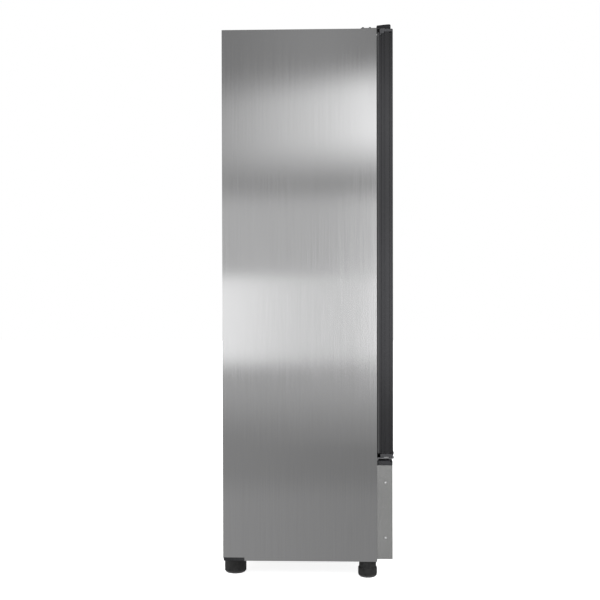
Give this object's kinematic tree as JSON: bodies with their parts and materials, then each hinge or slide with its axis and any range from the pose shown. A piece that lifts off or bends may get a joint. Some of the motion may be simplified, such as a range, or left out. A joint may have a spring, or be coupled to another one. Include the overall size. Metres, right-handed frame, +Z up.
{
  "type": "medical refrigerator",
  "caption": "Upright medical refrigerator with a stainless cabinet, black-framed glass door, wire shelves and a bottom cooling unit behind a louvred cover.",
  "frame": {"origin": "on the floor, under the middle of the object's box", "axes": "+Z up; the door faces -Y; +X is the door's handle side, at the right of a person facing the door"},
  "size_m": [0.666, 0.624, 2],
  "materials": {
    "stainless": "brushed, vertical grain",
    "galvanised": "zinc coated",
    "foam": "polyurethane foam",
    "liner_white": "smooth white enamel",
    "white_plastic": "satin",
    "cover_grey": "satin",
    "frame_black": "extruded, semi-matte",
    "cap_grey": "moulded",
    "trim_black": "moulded",
    "seal": "soft",
    "clear_glass": "polished",
    "spacer_metal": "mill finish",
    "hinge_steel": "zinc plated",
    "screw_steel": "bright",
    "shelf_wire": "epoxy coated",
    "lamp_metal": "anodised",
    "lamp_lens": "opal",
    "coil_metal": "mill finish",
    "motor_black": "satin",
    "fan_plastic": "moulded",
    "rubber_black": "moulded",
    "copper": "drawn tube",
    "hose_plastic": "soft",
    "display_window": "smoked",
    "key_plastic": "moulded",
    "foot_black": "moulded"
  },
  "bodies": {
    "cabinet": {"left_side_panel": "stainless", "right_side_panel": "stainless", "top_panel": "stainless", "back_panel": "galvanised", "insulation_foam": "foam", "inner_liner": "liner_white", "breaker_frame": "white_plastic", "front_sill": "stainless", "base_pan": "galvanised", "rear_grille": "trim_black", "lower_front_cover": "cover_grey", "cover_brackets": "galvanised", "trim_bar": "trim_black", "cabinet_screws": "screw_steel", "top_hinge_bracket": "hinge_steel", "top_hinge_cover": "trim_black", "bottom_hinge_bracket": "hinge_steel", "shelf_pilasters": "liner_white", "shelf_clips": "screw_steel", "wire_shelves": "shelf_wire", "lamp_housing": "lamp_metal", "lamp_diffuser": "lamp_lens", "evaporator_coil": "coil_metal", "evaporator_housing": "liner_white", "drain_tray": "white_plastic", "drain_hose": "hose_plastic", "fan_motors": "motor_black", "fan_guards": "shelf_wire", "compressor": "motor_black", "compressor_grommets": "rubber_black", "condenser_coil": "motor_black", "condenser_shroud": "trim_black", "refrigerant_lines": "copper", "evaporation_pan": "trim_black", "electrical_box": "galvanised", "power_inlet": "trim_black", "controller_housing": "trim_black", "controller_display": "display_window", "rear_feet": "foot_black", "front_foot_sockets": "foot_black"},
    "door": {"hinge_stile": "frame_black", "handle_stile": "frame_black", "door_rails": "frame_black", "corner_keys": "trim_black", "outer_glass": "clear_glass", "inner_glass": "clear_glass", "glass_spacer": "spacer_metal", "door_gasket": "seal", "door_end_caps": "cap_grey", "hinge_bushings": "white_plastic", "closing_rod": "screw_steel"},
    "fan_left": {"evaporator_fan_left": "fan_plastic"},
    "fan_right": {"evaporator_fan_right": "fan_plastic"},
    "fan_lower": {"condenser_fan": "fan_plastic"},
    "foot_left": {"front_foot_left": "foot_black"},
    "foot_right": {"front_foot_right": "foot_black"},
    "key_down": {"button_down": "key_plastic"},
    "key_up": {"button_up": "key_plastic"},
    "key_set": {"button_set": "key_plastic"},
    "switch_rocker": {"lamp_switch": "trim_black"}
  },
  "joints": [
    {"name": "door_swing", "type": "hinge", "parent": "cabinet", "child": "door", "pos_m": [-0.314, -0.283, 1.2], "axis": [0, 0, -1], "range_deg": [0, 110], "stiffness_Nm_per_rad": 1.5},
    {"name": "fan_left_spin", "type": "hinge", "parent": "cabinet", "child": "fan_left", "pos_m": [-0.122, -0.117, 1.8565], "axis": [0, 1, 0], "continuous": true},
    {"name": "fan_right_spin", "type": "hinge", "parent": "cabinet", "child": "fan_right", "pos_m": [0.122, -0.117, 1.8565], "axis": [0, 1, 0], "continuous": true},
    {"name": "fan_lower_spin", "type": "hinge", "parent": "cabinet", "child": "fan_lower", "pos_m": [-0.158, -0.137, 0.2095], "axis": [0, 1, 0], "continuous": true},
    {"name": "foot_left_turn", "type": "hinge", "parent": "cabinet", "child": "foot_left", "pos_m": [-0.2955, -0.216, 0.03], "axis": [0, 0, 1], "continuous": true},
    {"name": "foot_right_turn", "type": "hinge", "parent": "cabinet", "child": "foot_right", "pos_m": [0.2955, -0.216, 0.03], "axis": [0, 0, 1], "continuous": true},
    {"name": "key_down_press", "type": "slide", "parent": "cabinet", "child": "key_down", "axis": [0, 1, 0], "range_m": [0, 0.001], "stiffness_N_per_m": 300},
    {"name": "key_up_press", "type": "slide", "parent": "cabinet", "child": "key_up", "axis": [0, 1, 0], "range_m": [0, 0.001], "stiffness_N_per_m": 300},
    {"name": "key_set_press", "type": "slide", "parent": "cabinet", "child": "key_set", "axis": [0, 1, 0], "range_m": [0, 0.001], "stiffness_N_per_m": 300},
    {"name": "switch_rock", "type": "hinge", "parent": "cabinet", "child": "switch_rocker", "pos_m": [0.264, -0.2994, 0.365], "axis": [-1, 0, 0], "range_deg": [0, 16]}
  ]
}
